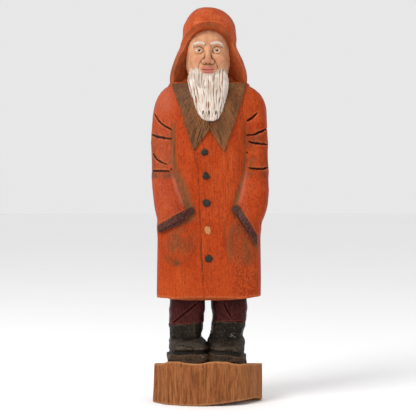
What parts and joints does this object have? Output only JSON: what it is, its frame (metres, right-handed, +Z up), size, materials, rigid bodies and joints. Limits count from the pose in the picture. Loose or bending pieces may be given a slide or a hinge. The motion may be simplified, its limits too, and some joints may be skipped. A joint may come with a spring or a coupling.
{
  "type": "carved wooden figurine",
  "caption": "Hand-carved, painted wooden figurine of a bearded old seafarer in a storm hat and long coat, hands in pockets, standing on a hewn wooden base block.",
  "frame": {"origin": "centre of the base block's flat underside, below the middle of the bounding box", "axes": "+Z up along the standing figure, -Y out of its front, +X towards its left arm"},
  "size_m": [0.089, 0.056, 0.3],
  "materials": {
    "base_wood": "bare hewn wood, thin worn wax",
    "boot_paint": "matt black-brown paint on carved wood",
    "trouser_paint": "matt burgundy paint on carved wood",
    "coat_paint": "thin worn orange paint over wood grain, satin",
    "hat_paint": "thin worn orange paint over wood grain, satin",
    "collar_paint": "thin brown wash over wood grain",
    "welt_paint": "dark red-brown paint",
    "button_paint": "matt black paint",
    "skin_paint": "flesh-coloured wash on carved wood",
    "beard_paint": "dry-brushed off-white paint in carved grooves",
    "bare_wood": "bare wood"
  },
  "bodies": {
    "root": {"base_block": "base_wood", "boot_right": "boot_paint", "boot_left": "boot_paint", "trouser_leg_right": "trouser_paint", "trouser_leg_left": "trouser_paint", "leg_dowel_right": "bare_wood", "leg_dowel_left": "bare_wood", "coat_body": "coat_paint", "sleeve_right": "coat_paint", "sleeve_left": "coat_paint", "sleeve_dowels_right": "bare_wood", "sleeve_dowels_left": "bare_wood", "collar_right": "collar_paint", "collar_left": "collar_paint", "pocket_welt_right": "welt_paint", "pocket_welt_left": "welt_paint", "button_1": "button_paint", "button_2": "button_paint", "button_3": "button_paint", "button_5": "button_paint", "lost_button_peg": "bare_wood", "head": "skin_paint", "beard": "beard_paint", "neck_dowel": "bare_wood", "hat": "hat_paint", "hat_dowel": "bare_wood"}
  },
  "joints": []
}
